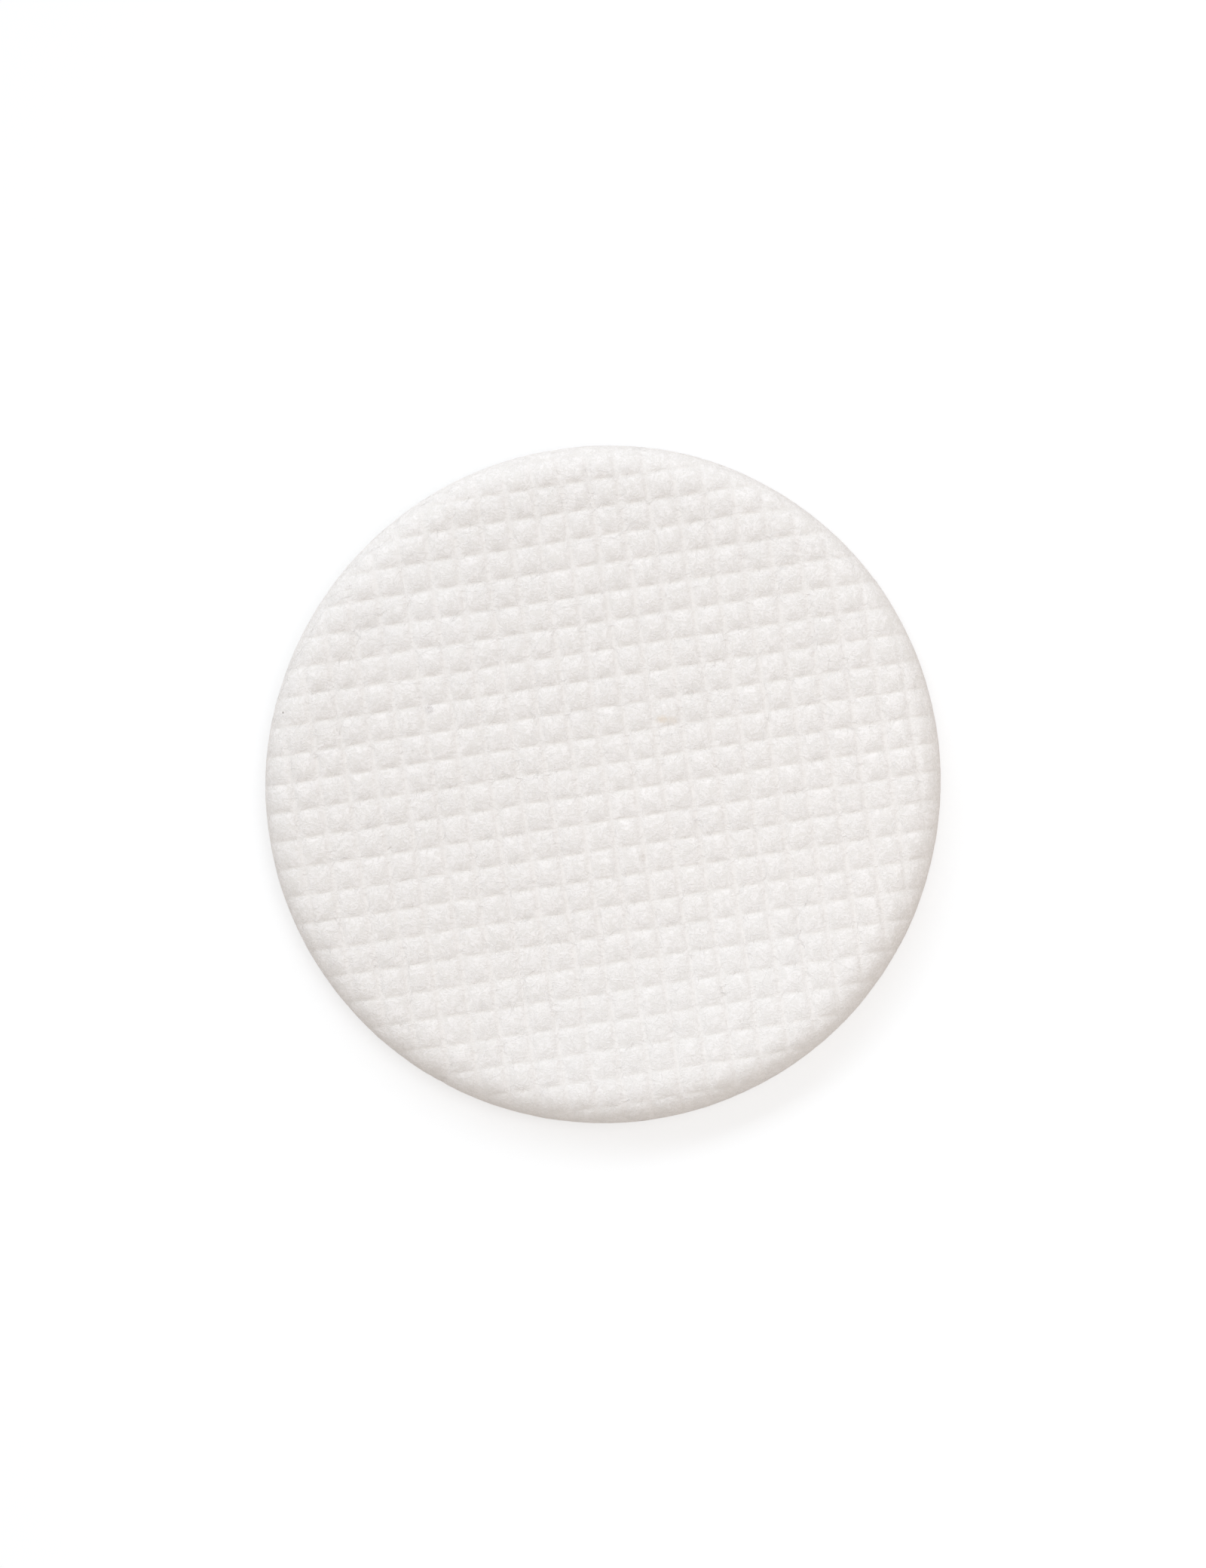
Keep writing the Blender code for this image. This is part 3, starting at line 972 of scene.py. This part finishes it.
@dataclass(frozen=True)
class PhotoFraming:
    """Where the pad lies in the photograph, in its own pixels, and how far off the camera stands."""

    width: int = 1600
    height: int = 2080
    pad_centre: tuple[float, float] = (801.28, 1040.34)
    pad_width: float = 897.4
    distance: float = 0.7
    clear_of_camera: float = 0.01

    def place_camera(self, pad_diameter: float, outline_height: float) -> None:
        """Make the scene's camera, which looks straight down at the photograph's scale.

        Args:
            pad_diameter: The pad's real diameter.
            outline_height: How high above the floor the pad is that wide.
        """
        metres_per_pixel = pad_diameter / self.pad_width
        data = bpy.data.cameras.new("camera")
        data.lens = data.sensor_width * (self.distance - outline_height) / (self.height * metres_per_pixel)
        data.clip_start = self.clear_of_camera
        camera = add_object("camera", data)
        camera.location = (
            -(self.pad_centre[0] - self.width / 2) * metres_per_pixel,
            (self.pad_centre[1] - self.height / 2) * metres_per_pixel,
            self.distance)
        bpy.context.scene.camera = camera


@dataclass(frozen=True)
class Lamp:
    """One soft lamp that faces the pad.

    Its share is how bright it makes a white sheet that lies where the pad is, where 1 is white.
    """

    name: str
    bearing: float
    elevation: float
    distance: float
    width: float
    height: float
    share: float
    colour: str

    def hang(self) -> None:
        """Hang the lamp."""
        away = Vector((
            math.cos(self.elevation) * math.cos(self.bearing),
            math.cos(self.elevation) * math.sin(self.bearing),
            math.sin(self.elevation)))
        lamp = bpy.data.lights.new(self.name, "AREA")
        lamp.shape = "RECTANGLE"
        lamp.size = self.width
        lamp.size_y = self.height
        lamp.energy = self.share * math.pi ** 2 * self.distance ** 2 / away.z
        lamp.color = linear(self.colour)[:3]
        holder = add_object(self.name, lamp)
        holder.location = away * self.distance
        holder.rotation_euler = away.to_track_quat("Z", "Y").to_euler()
        holder.visible_camera = False


@dataclass(frozen=True)
class Studio:
    """The pale floor, the soft daylight round it and the lamps over it."""

    floor_size: float = 3.0
    floor_drop: float = 0.02 * MM
    floor_colour: str = "#E8E2DC"
    floor_glow: float = 0.55
    floor_shade: float = 0.5
    floor_roughness: float = 0.9
    sky_colour: str = "#FFFAF5"
    sky_strength: float = 0.43
    lamps: tuple[Lamp, ...] = (
        Lamp(name="window", bearing=math.radians(114.5), elevation=math.radians(36), distance=2.2,
             width=5.0, height=0.8, share=0.61, colour="#EAF5FF"),
        Lamp(name="overhead", bearing=math.radians(-26), elevation=math.radians(70.7), distance=0.2,
             width=0.15, height=0.15, share=0.31, colour="#FCFBFC"),
    )

    def lay_floor(self) -> None:
        """Lay a matt floor a hair below the pad.

        It shows white to the camera and keeps a pale shadow of the pad.
        """
        mesh = bpy.data.meshes.new("floor")
        plan = bmesh.new()
        bmesh.ops.create_grid(plan, x_segments=1, y_segments=1, size=self.floor_size / 2)
        bmesh.ops.translate(plan, verts=plan.verts, vec=(0.0, 0.0, -self.floor_drop))
        plan.to_mesh(mesh)
        plan.free()
        material, tree, shader = new_material("matt_paper")
        add = partial(add_node, tree)
        seen = add("ShaderNodeLightPath").outputs["Is Camera Ray"]
        shade = (self.floor_shade, self.floor_shade, self.floor_shade, 1.0)
        colour = add("ShaderNodeMix", {
            0: seen, 6: linear(self.floor_colour), 7: shade}, data_type="RGBA")
        glow = add("ShaderNodeMath", {0: seen, 1: self.floor_glow}, operation="MULTIPLY")
        feed(tree, shader, {
            "Base Color": colour, "Roughness": self.floor_roughness, "Specular IOR Level": 0.0,
            "Emission Color": linear(WHITE), "Emission Strength": glow})
        mesh.materials.append(material)
        floor = add_object("floor", mesh)

    def light_sky(self) -> None:
        """Light the scene evenly from all round, and show a white background."""
        world = bpy.data.worlds.new("daylight")
        world.use_nodes = True
        bpy.context.scene.world = world
        tree = world.node_tree
        add = partial(add_node, tree)
        rays = add("ShaderNodeLightPath").outputs
        seen = add("ShaderNodeMath", {
            0: rays["Is Camera Ray"], 1: rays["Is Glossy Ray"]}, operation="MAXIMUM")
        shown = add("ShaderNodeMath", {0: seen, 1: rays["Is Transmission Ray"]}, operation="MAXIMUM")
        colour = add("ShaderNodeMix", {
            0: shown, 6: linear(self.sky_colour), 7: linear(WHITE)}, data_type="RGBA")
        strength = add("ShaderNodeMapRange", {
            "Value": shown, "To Min": self.sky_strength, "To Max": 1.0})
        feed(tree, tree.nodes["Background"], {"Color": colour, "Strength": strength})

    def build(self) -> None:
        """Build the floor, the sky and the lamps, and set the plain view transform."""
        self.lay_floor()
        self.light_sky()
        for lamp in self.lamps:
            lamp.hang()
        bpy.context.scene.view_settings.view_transform = "Standard"


def main() -> None:
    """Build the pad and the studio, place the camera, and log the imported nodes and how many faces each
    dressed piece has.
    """
    log.info("packed nodes: %s", ", ".join(frame["nodes"]))
    low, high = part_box(PAD_NODE)
    for piece in CottonPad(Vector(low), Vector(high)).build():
        log.info("%s: %d faces", piece.name, len(piece.data.polygons))
    Studio().build()
    PhotoFraming().place_camera(high[0] - low[0], PadBlank.rim_height)


if __name__ == "__main__":
    main()
